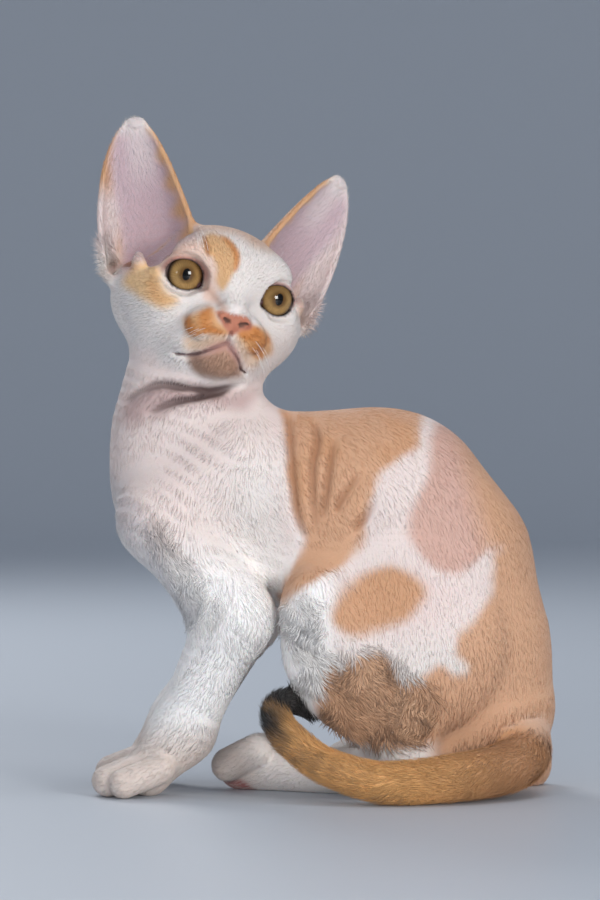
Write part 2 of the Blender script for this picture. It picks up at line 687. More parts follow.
def surfaceNet(field, xs, ys, zs, step, rounds):
    # one point in each crossed cell at the mean of its edge crossings, one quad round each crossed grid edge
    value = sampleField(field, xs, ys, zs, step)
    partDiagonals(value)
    inside = value < 0
    shape = value.shape
    cells = tuple(n - 1 for n in shape)
    corners = [(i, j, k) for i in (0, 1) for j in (0, 1) for k in (0, 1)]
    parts = [inside[i:cells[0] + i, j:cells[1] + j, k:cells[2] + k] for i, j, k in corners]
    some, every = np.any(parts, axis=0), np.all(parts, axis=0)
    ci, cj, ck = np.nonzero(some & ~every)
    pointOf = np.full(cells, -1)
    pointOf[ci, cj, ck] = np.arange(len(ci))
    total, count = np.zeros((len(ci), 3)), np.zeros(len(ci))
    lines = (xs, ys, zs)
    for a in corners:
        for axis in range(3):
            if a[axis]:
                continue
            b = tuple(1 if other == axis else a[other] for other in range(3))
            va = value[ci + a[0], cj + a[1], ck + a[2]]
            vb = value[ci + b[0], cj + b[1], ck + b[2]]
            crossed = (va < 0) != (vb < 0)
            t = np.where(crossed, va / np.where(crossed, va - vb, 1), 0)
            at = np.stack([lines[s][c + a[s]] for s, c in enumerate((ci, cj, ck))], axis=1)
            end = np.stack([lines[s][c + b[s]] for s, c in enumerate((ci, cj, ck))], axis=1)
            total += np.where(crossed[:, None], at + t[:, None] * (end - at), 0)
            count += crossed
    points = total / count[:, None]
    quads = []
    for axis in range(3):
        u, v = (axis + 1) % 3, (axis + 2) % 3
        low = [slice(1, n - 1) for n in shape]
        low[axis] = slice(0, shape[axis] - 1)
        high = list(low)
        high[axis] = slice(1, shape[axis])
        first, second = inside[tuple(low)], inside[tuple(high)]
        at = np.stack(np.nonzero(first != second), axis=1)
        at[:, u] += 1
        at[:, v] += 1
        eu, ev = np.eye(3, dtype=int)[u], np.eye(3, dtype=int)[v]
        loop = np.stack([pointOf[tuple((at - s).T)] for s in (eu + ev, ev, 0 * eu, eu)], axis=1)
        outward = inside[tuple(at.T)]
        quads.append(np.where(outward[:, None], loop, loop[:, ::-1]))
    quads = np.concatenate(quads)
    return settle(field, points, quads, rounds), quads


def quadNormals(points, quads):
    # unit normals at the points, from the cross products of each quad's diagonals
    a, b, c, d = points[quads.T]
    face = np.cross(c - a, d - b)
    n = len(points)
    sums = [sum(np.bincount(quads[:, k], face[:, s], n) for k in range(4)) for s in range(3)]
    total = np.stack(sums, axis=1)
    return total / np.maximum(length(total), 1e-9)[:, None]


def settle(field, points, quads, rounds):
    # a few times, every point moves towards the middle of its neighbours and back onto the surface
    pairs = np.concatenate([quads[:, [i, (i + 1) % 4]] for i in range(4)])
    a, b = pairs.T
    n = len(points)
    count = np.bincount(a, minlength=n) + np.bincount(b, minlength=n)
    for _ in range(rounds):
        sums = [np.bincount(a, points[b, s], n) + np.bincount(b, points[a, s], n) for s in range(3)]
        middle = np.stack(sums, axis=1)
        points = 0.4 * points + 0.6 * middle / count[:, None]
        normals = quadNormals(points, quads)
        here = field(points)
        steep = (field(points + 0.15 * normals) - here) / 0.15
        points = points - np.clip(here / np.maximum(steep, 0.35), -1.2, 1.2)[:, None] * normals
    return points


# Pieces
def makePiece(name, points, faces, material):
    # a smooth mesh at the origin, riding on the one body
    mesh = bpy.data.meshes.new(name)
    faces = np.asarray(faces)
    mesh.vertices.add(len(points))
    mesh.vertices.foreach_set("co", toWorld(points).astype(np.float32).ravel())
    mesh.loops.add(faces.size)
    mesh.loops.foreach_set("vertex_index", faces.astype(np.int32).ravel())
    mesh.polygons.add(len(faces))
    mesh.polygons.foreach_set("loop_start", (np.arange(len(faces)) * faces.shape[1]).astype(np.int32))
    mesh.polygons.foreach_set("use_smooth", np.ones(len(faces), bool))
    mesh.update(calc_edges=True)
    mesh.validate()
    mesh.materials.append(material)
    piece = bpy.data.objects.new(name, mesh)
    bpy.context.scene.collection.objects.link(piece)
    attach(piece, "root")
    return piece


def paint(piece, colours):
    # one colour for each point, kept as the attribute that the materials read
    layer = piece.data.color_attributes.new("coatColour", "FLOAT_COLOR", "POINT")
    full = np.concatenate([colours, np.ones((len(colours), 1))], axis=1)
    layer.data.foreach_set("color", full.astype(np.float32).ravel())


def ringPairs(rings, sides):
    # each point of all rings but the last, and the next point round its ring
    i = (np.arange(rings - 1)[:, None] * sides + np.arange(sides)).ravel()
    return i, i - i % sides + (i + 1) % sides


def tubeFaces(rings, sides):
    # two triangles in each cell between neighbouring rings
    i, j = ringPairs(rings, sides)
    return np.concatenate([np.stack([i, j, j + sides], axis=1), np.stack([i, j + sides, i + sides], axis=1)])


# Colours, as they look in even light
def tone(r, g, b):
    # a screen colour from 0 to 255 turned into the linear one that shaders take
    c = np.array([r, g, b]) / 255
    return np.where(c <= 0.04045, c / 12.92, ((c + 0.055) / 1.055) ** 2.4)


tones = {
    "white": tone(231, 223, 218), "blush": tone(228, 203, 197), "cream": tone(206, 158, 122),
    "rose": tone(206, 165, 150), "orange": tone(197, 139, 88), "deepOrange": tone(162, 94, 40),
    "ginger": tone(238, 180, 112), "brown": tone(112, 70, 38), "black": tone(16, 11, 9),
    "earPink": tone(190, 168, 176), "earRim": tone(206, 154, 108), "nose": tone(190, 122, 96),
    "noseRim": tone(150, 70, 50), "lid": tone(160, 92, 80), "lip": tone(84, 46, 46),
    "lipPink": tone(186, 128, 122), "tan": tone(160, 106, 62), "pad": tone(180, 116, 112),
    "fold": tone(54, 22, 18), "backFold": tone(146, 92, 50), "cupHair": tone(210, 194, 200),
    "mark": tone(196, 118, 34), "peach": tone(206, 158, 132), "throat": tone(164, 124, 122),
    "shade": tone(154, 152, 164), "gold": tone(216, 164, 102), "paleGold": tone(236, 192, 132),
    "lock": tone(228, 184, 148), "tailBase": tone(178, 128, 90), "glow": tone(232, 192, 170),
    "bright": tone(252, 250, 248), "pawWarm": tone(214, 197, 186), "tragus": tone(206, 170, 162),
    "band": tone(224, 208, 206), "lilac": tone(200, 180, 182),
}

# Outlines of the markings in the side view, in millimetres
markings = {
    "back": [
        (-15.8, 159.5), (-7.6, 162.8), (27.3, 163.6), (39.6, 157.9), (41.2, 146), (40, 141.1),
        (35.9, 138.6), (30.1, 133.7), (24, 128.8), (21.5, 120.6), (18.7, 114.4), (16.6, 104.6),
        (12.5, 97.2), (4.3, 89.8), (-5.1, 84.1), (-15.8, 79.1), (-17.4, 80.4), (-11.7, 91.4), (-5.3, 102.9),
        (-11, 119.3), (-13.7, 140.2),
    ],
    "haunch": [
        (46.5, 146.8), (44.1, 132), (40, 118.9), (35.9, 111.1), (37.5, 102.1), (44.9, 94.7), (54.7, 90.6),
        (62.1, 92.3), (67.4, 97.2), (74.4, 100.9), (115.4, 100.9), (115.4, 154.2), (53.5, 151.3),
    ],
    "rump": [
        (115.4, 102.9), (74.4, 99.6), (71.5, 91.4), (71.1, 83.2), (68.3, 76.3), (62.1, 68.9), (57.2, 63.2),
        (56.8, 55.8), (60.1, 50.8), (55.6, 48.4), (49.8, 51.7), (43.3, 47.6), (36.7, 45.1), (31.8, 47.6),
        (30.1, 53.3), (24, 56.6), (19.1, 56.6), (12.5, 53.3), (4.7, 50.8), (1.4, 45.5), (-1, 37.3),
        (1.4, 23), (10.9, 10.7), (33.4, -7.8), (115.4, -7.8),
    ],
    "spot": [
        (28.7, 91.4), (36.7, 90.2), (41.6, 86.5), (43.3, 79.3), (38.3, 72), (32, 68.1), (17.4, 64.4),
        (7.6, 67.2), (5.9, 73.8), (10, 81.8), (19, 89.1),
    ],
    "forehead": [
        (-47.5, 227.3), (-43.3, 228.8), (-38.6, 227.3), (-35.5, 225.2), (-33.1, 220.6), (-33.1, 215.8),
        (-35.5, 210.6), (-38, 206.7), (-40.1, 205.4), (-41.7, 209.1), (-41.7, 214.2), (-43.8, 218.9),
        (-46.5, 220.2), (-47.5, 223.7),
    ],
    "foreheadMark": [(-47.4, 227.2), (-45.8, 226.3), (-44.7, 221.8), (-45.3, 219.3), (-46.7, 221)],
    "foreheadEdge": [
        (-39.6, 227.6), (-36.3, 225.9), (-32.8, 221), (-33, 214.4), (-34.6, 212.8), (-35.1, 219.8),
        (-37.5, 224.3),
    ],
    "temple": [
        (-87, 216.5), (-80, 217.2), (-75.3, 216.9), (-69.1, 216.9), (-65, 214.4), (-63.7, 209.5),
        (-61.7, 204.6), (-57.6, 201.3), (-60.1, 198.4), (-65, 198), (-69.1, 200), (-74.2, 203),
        (-80.2, 207), (-86, 210.5),
    ],
    "templeMark": [
        (-69.5, 209.1), (-65.4, 208.3), (-63.3, 203.8), (-59.2, 200.9), (-65, 199.3), (-69.1, 202.6),
    ],
    "earSlit": [(-7.2, 202.5), (-5.6, 206.2), (-2.3, 208.8), (-2.2, 206), (-5.1, 201.9)],
    "earStreak": [(-8.4, 201.3), (-6.4, 200.5), (-5.8, 193.9), (-7.6, 192.3), (-9, 196.4)],
    "lilac": [
        (-69.5, 209.5), (-71, 217), (-69, 226.5), (-62.5, 234), (-55, 236.5), (-50.5, 231.5), (-50, 226),
        (-56, 222.5), (-62.5, 217.5), (-66, 213),
    ],
    "cheekShade": [
        (-85, 206), (-80, 202), (-76, 190), (-70, 178), (-60, 172), (-66, 166), (-80, 172), (-88, 190),
    ],
    "browRight": [
        (-70, 207), (-68.3, 213.5), (-62, 219.5), (-53, 225), (-45.5, 224.5), (-42, 217), (-41, 208),
        (-42, 200.5), (-47, 201.5), (-48, 210), (-55, 217), (-62.5, 214.5), (-66.5, 208),
    ],
    "underchest": [
        (-90, 134), (-83, 128), (-74, 118), (-68, 106), (-58, 88), (-50, 76), (-56, 70), (-70, 88),
        (-84, 108), (-92, 122),
    ],
    "muzzleRight": [
        (-54.8, 187), (-48.6, 185.7), (-42.4, 187.8), (-37.9, 186.6), (-36.7, 183.3), (-39.6, 182.1),
        (-44.5, 181.2), (-50.2, 180), (-54.3, 181.6),
    ],
    "muzzleLeft": [
        (-33, 187), (-28, 186), (-23.2, 180.8), (-24.8, 174.3), (-28.9, 173.4), (-32.2, 178.8),
        (-34.6, 182.9),
    ],
    "throat": [
        (-78.1, 162.4), (-63, 167.7), (-52.7, 165.2), (-32.2, 165.2), (-26, 163.6), (-30.1, 156.2),
        (-48.6, 159.5), (-60.9, 155.4), (-73.2, 150.1), (-80.6, 152.1),
    ],
    "bridge": [
        (-46.1, 205.4), (-43.7, 202.6), (-41.2, 198.9), (-39.6, 196), (-37.1, 196.8), (-38.8, 200.1),
        (-42, 203), (-44.5, 206.7),
    ],
    "knee": [
        (-17, 79.6), (-11.7, 88.6), (-5.5, 98.8), (0.6, 103.7), (10.9, 106.2), (17.8, 107), (17.8, 100.9),
        (13.7, 96), (6.8, 90.6), (-0.2, 85.7), (-7.6, 81.6), (-15, 77.5),
    ],
    "crown": [
        (-50.2, 235.3), (-42.4, 238.9), (-30.1, 236.3), (-19.2, 230.4), (-15.7, 220.8), (-26, 223.1),
        (-32.2, 227.6), (-38.3, 229.2), (-45.3, 229.2), (-49.4, 227.6), (-60.9, 216.9), (-65.8, 218.5),
        (-58.4, 225.9),
    ],
    "padRight": [
        (-54.8, 194.3), (-48.2, 196.8), (-43.3, 198), (-40.8, 193.1), (-37.1, 189.8), (-37.5, 187.4),
        (-45.9, 187.8), (-51.1, 186.8), (-54.3, 189),
    ],
    "padLeft": [
        (-33.4, 187.8), (-27.7, 189.8), (-22.3, 188.6), (-19.2, 183.9), (-19.2, 179.2), (-24.8, 176.9),
        (-28.1, 180.8), (-31.4, 184.5),
    ],
    "chin": [
        (-53, 178.4), (-46.5, 179.8), (-42, 181.4), (-37.9, 182.5), (-35.1, 180.8), (-33, 178),
        (-31.8, 175.5), (-31, 172.6), (-32.2, 169.8), (-38.4, 168.9), (-45.3, 169.6), (-51, 172.4),
    ],
    "curls": [
        (7.5, 47.5), (3, 51), (5, 55), (14, 58.5), (24, 59), (33, 55), (40, 48), (47, 38), (48, 27),
        (36, 19), (22, 19), (8, 27), (2, 38),
    ],
    "fringe": [
        (-72, 108), (-66, 112), (-57, 100), (-48, 86), (-41, 74), (-48, 66), (-56, 72), (-60, 84),
        (-66, 96),
    ],
    "belly": [(-13, 76), (-6, 80), (1, 72), (3, 60), (3, 44), (-2, 40), (-8, 50), (-12, 62)],
    "nose": [
        (-42.2, 196.2), (-40, 197), (-35.5, 195.6), (-29.7, 194.6), (-27.3, 191.3), (-28.5, 189),
        (-32.2, 188.6), (-35.9, 186.6), (-37.9, 189), (-40.4, 192.7),
    ],
}


def cupShare(e):
    # 1 on the inside of an ear's cup, 0 elsewhere, fading over the rim and towards the forehead
    a, b, h = e.T
    share = np.clip(h / earTall, 0, 1)
    cup, width, _ = cupReach(a, b, share, 1.0, 1.2)
    furred = 1 - 0.34 * smoothStep(0.85, 0.2, share) * (a > 0)  # the outer rim's lower half is furred inside
    rim = np.abs(a) / (width * furred)
    low = smoothStep(-13, -4, h) * smoothStep(-9, -2, b)
    soft = np.where(a > 0, 0.62, 0.84)
    return smoothStep(0.99, 0.93, cup) * smoothStep(1.06, soft, rim) * low


def innerEdge(a, h):
    # 1 by the inner rim of a cup, where the coat's colour runs in, 0 at its middle
    share = np.clip(h / earTall, 0, 1)
    near = np.maximum(-a / np.maximum(innerWidth(share), 1.2), 0) + 0.1 * np.sin(h * 0.55)
    return smoothStep(0.5, 0.92, near) * smoothStep(0.97, 0.86, share) * 0.8


def inOutline(view, name, soft):
    # 1 inside the closed curve, 0 outside, with an edge as wide as soft
    loop = curveThrough(markings[name], 4 * len(markings[name]), closed=True)
    result = np.zeros(len(view))
    near = ((view > loop.min(0) - 2 * soft) & (view < loop.max(0) + 2 * soft)).all(axis=1)
    q = view[near]
    best = np.full(len(q), 1e9)
    crossings = np.zeros(len(q), bool)
    for a, b in zip(loop, np.roll(loop, -1, axis=0)):
        ab = b - a
        t = np.clip((q - a) @ ab / (ab @ ab), 0, 1)
        best = np.minimum(best, length(q - a - t[:, None] * ab))
        spans = (a[1] > q[:, 1]) != (b[1] > q[:, 1])
        crossings ^= spans & (q[:, 0] < a[0] + (q[:, 1] - a[1]) * ab[0] / (ab[1] if ab[1] else 1e-9))
    result[near] = smoothStep(-soft, soft, np.where(crossings, best, -best))
    return result


def mix(colour, other, share):
    # each point's colour moved by its share of the way to the other one
    return colour + (other - colour) * share[:, None]


def plainTone(name, p):
    # one tone for every point
    return np.tile(tones[name], (len(p), 1))


# Markings painted inside their outlines: tone, softness of the edge in millimetres, share of the tone
faceMarks = {
    "lilac": ("lilac", 3.0, 0.65), "cheekShade": ("shade", 3.5, 0.3), "browRight": ("glow", 1.8, 0.7),
    "bridge": ("peach", 1.6, 0.6), "muzzleRight": ("gold", 2.2, 0.6), "muzzleLeft": ("gold", 2.2, 0.5),
    "forehead": ("gold", 1.4, 0.9), "foreheadEdge": ("mark", 1.0, 0.8),
    "foreheadMark": ("deepOrange", 0.9, 0.8), "temple": ("paleGold", 2.6, 0.9),
    "templeMark": ("mark", 2.4, 0.4), "earSlit": ("lipPink", 0.9, 0.8), "earStreak": ("gold", 1.4, 0.5),
    "padRight": ("gold", 2.0, 0.9), "padLeft": ("gold", 2.2, 0.9), "chin": ("tan", 2.2, 0.85),
}
trunkEdges = {"back": 2.2, "haunch": 2.4, "rump": 2.4, "knee": 2.6, "spot": 3.0, "curls": 3.0}


def trunkFur(p, view, outline, onTrunk, onTail, crease):
    # white, warmer where the coat is thin, then the cream and ginger markings, the knee's locks and the folds
    x, _, z = p.T
    c = plainTone("white", p)
    blushing = smoothStep(-0.4, 1.4, ripple(p, 22, 5) + smoothStep(120, 160, z)) * 0.5
    blushing = blushing + 0.45 * smoothStep(-24, -8, x)
    c = mix(c, tones["blush"], np.minimum(blushing, 0.8) * onTrunk * smoothStep(50, 84, z))
    lit = smoothStep(112, 84, z) * smoothStep(22, 36, z) * smoothStep(10, 0, x)
    c = mix(c, tones["bright"], lit * onTrunk * 0.9)
    c = mix(c, tones["pawWarm"], smoothStep(30, 14, z) * smoothStep(-20, -34, x) * 0.8)
    onLegs = smoothStep(26, 20, z) * smoothStep(52, 40, x)
    trunkOnly = onTrunk * (1 - onLegs) * smoothStep(-22, -17, x)
    inside = {name: inOutline(outline, name, soft) for name, soft in trunkEdges.items()}
    c = mix(c, tones["cream"], inside["back"] * trunkOnly)
    haunch = inside["haunch"] * trunkOnly
    c = mix(c, tones["rose"], haunch)
    c = mix(c, tones["cream"], haunch * smoothStep(58, 74, view[:, 0] + 0.25 * (view[:, 1] - 110)))
    c = mix(c, tones["cream"], inside["rump"] * trunkOnly)
    c = mix(c, tones["cream"], inside["knee"] * trunkOnly * 0.75)
    c = mix(c, tones["orange"], inside["spot"] * trunkOnly * 0.9)
    c = mix(c, tones["cream"], smoothStep(60, 72, x) * smoothStep(34, 24, z) * (1 - onTail))
    locks = ripple(p * (1, 1, 0.6), 3.0, 81)
    onCurls = inside["curls"] * inside["rump"] * trunkOnly
    c = mix(c, tones["lock"], (0.5 + 0.4 * smoothStep(-0.2, 1.0, locks)) * onCurls)
    c = mix(c, tones["brown"], smoothStep(0.5, 1.6, -locks) * 0.35 * onCurls)
    streaky = smoothStep(0.2, 1.3, ripple(p * (1, 1, 0.35), 5, 8))
    c = mix(c, tones["orange"], 0.35 * streaky * inside["back"] * trunkOnly)
    return mix(c, tones["backFold"], smoothStep(0.5, 2.2, crease) * 0.6 * trunkOnly)


def tailFur(p, along):
    # ginger with brown bands across it, creamy at the root and black at the tip
    streak = smoothStep(-0.1, 1.3, 0.7 * ripple(p, 5, 9) + 0.7 * np.sin(along * 150)) * 0.6
    c = mix(plainTone("ginger", p), tones["tailBase"], smoothStep(0.42, 0.2, along) * 0.85)
    c = mix(c, tones["brown"], streak * smoothStep(0.25, 0.6, along) * 0.8)
    return mix(c, tones["black"], smoothStep(0.63, 0.75, along + 0.025 * ripple(p, 3, 10)))


def throatFur(c, p, view, outline, offHead, inFold):
    # a grey shade under the chest, the thin-coated pink throat, and the dark bottoms of the neck's folds
    x, y, _ = p.T
    c = mix(c, tones["shade"], inOutline(outline, "underchest", 3.0) * offHead * smoothStep(10, -4, y) * 0.3)
    c = mix(c, tones["throat"], inOutline(outline, "throat", 4.0) * smoothStep(0, -10, y) * offHead * 0.6)
    return mix(c, tones["fold"], inFold * smoothStep(-18, -24, x) * (0.5 + bell(view[:, 0] + 47, 0.5, 15)))


def headFur(c, p, q, outline, onHead):
    # cream over the crown and the back of the head, then the face's markings, and dark spots on the pads
    c = mix(c, tones["cream"], inOutline(outline, "crown", 3.0) * onHead * 0.75)
    behind = smoothStep(6, 16, q[:, 1] + 2 * ripple(p, 9, 12)) * smoothStep(-12, 6, q[:, 2])
    c = mix(c, tones["cream"], behind * onHead * 0.8)
    front = onHead * smoothStep(8, 0, q[:, 1])
    for name, (colour, soft, share) in faceMarks.items():
        c = mix(c, tones[colour], inOutline(outline, name, soft) * front * share)
    spots = smoothStep(-0.9, 0.5, ripple(p, 2.0, 71))
    for name in ("padRight", "padLeft"):
        c = mix(c, tones["mark"], inOutline(outline, name, 1.2) * front * (0.25 + 0.7 * spots))
    return c


def earFur(c, p, q, side):
    # gold outside, with a pale band by the outer rim and a white tip, and pale hair in the cup
    place = toEar(q, side)
    a, b, h = place.T
    tall = h / earTall
    pale = smoothStep(2, 8, a) * (smoothStep(0.6, 0.35, tall) if side < 0 else 1) * smoothStep(12, 7, b)
    back = mix(plainTone("earRim", p), tones["band"], pale * 0.95)
    back = mix(back, tones["white"], smoothStep(0.84, 0.95, tall) * 0.9)
    c = mix(c, back, smoothStep(2.5, 0.5, earField(q, side)) * smoothStep(-6, 4, h))
    cup = mix(plainTone("cupHair", p), tones["white"], smoothStep(0.7, 0.98, tall))
    cup = mix(cup, tones["gold"], innerEdge(a, h))
    return mix(c, cup, cupShare(place) * besideEar(q, side))


def coatColour(p):
    # one marking after another: trunk, tail, throat, head and ears; the outlines' edges are a little rough
    q, view = toHead(p), seen(p)
    rough = np.stack([ripple(p, 5.0, 3), ripple(p, 5.0, 4)], axis=1)
    far = smoothStep(2, 26, p[:, 1])  # the right side, which the photo doesn't show, has its own edges
    outline = view + rough * 0.9 + far[:, None] * (9, -7)
    tailGap, along = nearTail(p)
    onTail = smoothStep(2.5, 0, tailGap) * smoothStep(0.06, 0.16, along)
    onHead = smoothStep(6, 1, faceField(q))
    crease = creaseDepth(p)
    c = trunkFur(p, view, outline, (1 - onHead) * (1 - onTail), onTail, crease)
    c = mix(c, tailFur(p, along), onTail)
    c = throatFur(c, p, view, outline, 1 - onHead, smoothStep(0.6, 2.2, crease * (1 + 0.25 * rough[:, 0])))
    c = headFur(c, p, q, view + rough * 0.35, onHead)
    for side in (1, -1):
        c = earFur(c, p, q, side)
    return c


def earSkin(c, p, q, side):
    # pink with fine wrinkles, hazed with white hair, a dark canal with a pink rim, and the tragus
    place = toEar(q, side)
    a, _, h = place.T
    wrinkle = 0.5 + 0.5 * np.sin(h * 2.3 + 1.5 * ripple(p, 4, 51))
    cup = mix(plainTone("earPink", p), tones["lipPink"], 0.1 + 0.12 * wrinkle * smoothStep(30, 6, h))
    haze = 0.4 * smoothStep(22, 40, h) * smoothStep(9, 2, np.abs(a + 1))
    haze = haze + 0.6 * smoothStep(0.8, 1.0, h / earTall)
    cup = mix(mix(cup, tones["gold"], innerEdge(a, h)), tones["white"], np.minimum(haze, 0.7))
    c = mix(c, cup, cupShare(place) * besideEar(q, side))
    hollow = ballReach(place, *ear["canal"])
    c = mix(c, tones["lipPink"], smoothStep(4.2, 1.2, hollow) * 0.7)
    c = mix(c, tones["brown"], smoothStep(1.9, 0.9, hollow) * 0.9)
    return mix(c, tones["tragus"], smoothStep(0.9, 0.0, limbField(place, *ear["tragus"])) * 0.85)


def lidSkin(c, q, side):
    # a red rim, stronger above, and a black edge
    e = toEye(q, side)
    share, front = openingShare(e), eyeFront(e)
    upper = smoothStep(-3, 2, e[:, 2])
    c = mix(c, tones["lid"], smoothStep(1.36, 1.14, share) * front * (0.12 + 0.6 * upper))
    return mix(c, tones["black"], smoothStep(1.11, 1.05, share) * front * 0.92)


def skinColour(p):
    # the coat's markings, a little pinker, with the bare parts in their own colours
    q = toHead(p)
    c = mix(coatColour(p), tones["blush"], np.full(len(p), 0.06))
    for side in (1, -1):
        c = lidSkin(earSkin(c, p, q, side), q, side)
    front = smoothStep(0, -6, q[:, 1])
    onNose = inOutline(seen(p), "nose", 0.9) * front
    c = mix(c, tones["nose"], onNose)
    c = mix(c, tones["noseRim"], onNose * smoothStep(-0.2, 0.9, ripple(p, 1.7, 61)) * 0.35)
    m, f = lipLines(p)
    aside = np.abs(q[:, 0])
    c = mix(c, tones["lipPink"], bell(m, 1, 2.4) * 0.7 * smoothStep(12, 4, aside))
    dark = 0.55 + 0.35 * smoothStep(1.5, 9, aside)
    c = mix(c, tones["lip"], smoothStep(1.05, 0.5, m) * dark * smoothStep(17.5, 14.5, aside))
    c = mix(c, tones["lip"], smoothStep(1.2, 0.6, f) * 0.5)
    toeAt = legs["hindLeft"]["paw"]["foot"] + (0, 0, 3.0)
    onPads = smoothStep(11, 8, length((p - toeAt) * (1, 1, 1.6))) * smoothStep(6.0, 4.2, p[:, 2])
    c = mix(c, tones["pad"], onPads)
    mirrored = q * (np.sign(q[:, 0])[:, None] * (1, 0, 0) + (0, 1, 1))
    return mix(c, tones["black"], smoothStep(0.25, -0.1, limbField(mirrored, *hole)) * front * 0.97)


# Materials
def newMaterial(name, roughness, sheen=0.0, coat=0.0, coatRoughness=0.1, subsurface=0.0):
    # a shader with its plain values set
    material = bpy.data.materials.new(name)
    material.use_nodes = True
    shader = material.node_tree.nodes["Principled BSDF"]
    for socket, value in {
        "Roughness": roughness, "Sheen Weight": sheen, "Coat Weight": coat, "Coat Roughness": coatRoughness,
        "Subsurface Weight": subsurface, "Subsurface Radius": (1.0, 0.35, 0.2), "Subsurface Scale": 0.002,
    }.items():
        shader.inputs[socket].default_value = value
    return material, shader


def mottleGroup():
    # brightens and darkens a colour by fine noise, and gives the same noise as a height
    group = bpy.data.node_groups.new("mottle", "ShaderNodeTree")
    for socket, way, kind in (
        ("Color", "INPUT", "Color"), ("Scale", "INPUT", "Float"), ("Amount", "INPUT", "Float"),
        ("Color", "OUTPUT", "Color"), ("Height", "OUTPUT", "Float"),
    ):
        group.interface.new_socket(socket, in_out=way, socket_type="NodeSocket" + kind)
    nodes, links = group.nodes, group.links
    ins, outs = nodes.new("NodeGroupInput"), nodes.new("NodeGroupOutput")
    place = nodes.new("ShaderNodeTexCoord")
    noise = nodes.new("ShaderNodeTexNoise")
    noise.inputs["Detail"].default_value = 5
    links.new(place.outputs["Object"], noise.inputs["Vector"])
    links.new(ins.outputs["Scale"], noise.inputs["Scale"])
    centred = nodes.new("ShaderNodeMath")
    centred.operation = "SUBTRACT"
    centred.inputs[1].default_value = 0.5
    links.new(noise.outputs["Fac"], centred.inputs[0])
    swing = nodes.new("ShaderNodeMath")
    swing.operation = "MULTIPLY_ADD"
    swing.inputs[2].default_value = 1
    links.new(centred.outputs[0], swing.inputs[0])
    links.new(ins.outputs["Amount"], swing.inputs[1])
    scaled = nodes.new("ShaderNodeVectorMath")
    scaled.operation = "SCALE"
    links.new(ins.outputs["Color"], scaled.inputs[0])
    links.new(swing.outputs[0], scaled.inputs["Scale"])
    links.new(scaled.outputs[0], outs.inputs["Color"])
    links.new(noise.outputs["Fac"], outs.inputs["Height"])
    return group


mottle = mottleGroup()


def mottled(material, shader, source, grain, relief):
    # the mottle between a colour and the shader; grain is scale and amount, relief is strength and distance
    nodes, links = material.node_tree.nodes, material.node_tree.links
    group = nodes.new("ShaderNodeGroup")
    group.node_tree = mottle
    group.inputs["Scale"].default_value, group.inputs["Amount"].default_value = grain
    links.new(source, group.inputs["Color"])
    links.new(group.outputs["Color"], shader.inputs["Base Color"])
    if relief:
        bump = nodes.new("ShaderNodeBump")
        bump.inputs["Strength"].default_value, bump.inputs["Distance"].default_value = relief
        links.new(group.outputs["Height"], bump.inputs["Height"])
        links.new(bump.outputs["Normal"], shader.inputs["Normal"])


def paintedMaterial(name, grain, relief=None, **plain):
    # its colour is the one painted on the piece
    material, shader = newMaterial(name, **plain)
    node = material.node_tree.nodes.new("ShaderNodeAttribute")
    node.attribute_name = "coatColour"
    mottled(material, shader, node.outputs["Color"], grain, relief)
    return material, shader


skinFinish, _ = paintedMaterial(
    "kitten skin", (1500, 0.12), relief=(0.4, 0.0003), roughness=0.62, sheen=0.15, subsurface=0.12)
furFinish, _ = paintedMaterial("short wavy fur", (1400, 0.1), roughness=0.72, sheen=0.12)

# Skin: along each axis, where the grid's spacing changes and what it is from there on, in millimetres
skin = {
    "x": [(-106, 1.3), (-84, 0.9), (-20, 1.15), (14, 2.7), (106, 0)],
    "y": [(-74, 2.4), (-46, 0.92), (-14, 1.2), (40, 2.6), (66, 0)],
    "z": [(-2, 1.9), (22, 2.7), (160, 0.93), (250, 1.35), (284, 0)],
    "step": 4, "rounds": 3, "islandAngle": 1.15, "islandGap": 0.002,
}


def groundedSkin(p):
    # the floor cuts the soles flat
    return np.maximum(skinField(p), -p[:, 2])


print("meshing the skin")
skinLines = [gridLines(skin[axis]) for axis in "xyz"]
skinPoints, skinQuads = surfaceNet(groundedSkin, *skinLines, skin["step"], skin["rounds"])
skinNormals = quadNormals(skinPoints, skinQuads)
print("skin has", len(skinPoints), "points and", len(skinQuads), "quads")
skinPiece = makePiece("skin", skinPoints, skinQuads, skinFinish)
paint(skinPiece, skinColour(skinPoints))
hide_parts("torso", "neck", "head", "ear_left", "ear_right", "foreleg_left", "foreleg_right",
            "hindleg_left", "hindleg_right", "tail_base", "tail_mid", "tail_tip")


def unwrap(piece):
    # lays the whole skin flat in islands; the tufts use the same map at their roots
    piece.data.uv_layers.new(name="OFBake")
    bpy.context.view_layer.objects.active = piece
    piece.select_set(True)
    bpy.ops.object.mode_set(mode="EDIT")
    bpy.ops.mesh.select_all(action="SELECT")
    bpy.ops.uv.smart_project(angle_limit=skin["islandAngle"], island_margin=skin["islandGap"])
    bpy.ops.object.mode_set(mode="OBJECT")
    piece.select_set(False)
    flat = np.empty(len(piece.data.loops) * 2, np.float32)
    piece.data.uv_layers["OFBake"].data.foreach_get("uv", flat)
    return flat.reshape(-1, 4, 2)


skinMap = unwrap(skinPiece)
print("skin unwrapped")

# Coat: thin tufts set on the skin, each a closed three-sided lock that lies along the coat
coat = {
    "bend": (0.0, 0.42, 1.0), "taper": (1.0, 0.8, 0.0), "thick": 0.13, "patch": 0.003, "rootShade": 0.96,
    "vary": 0.025, "jitter": 0.12, "size": (0.75, 1.2), "ground": 0.05, "most": 18500,
}
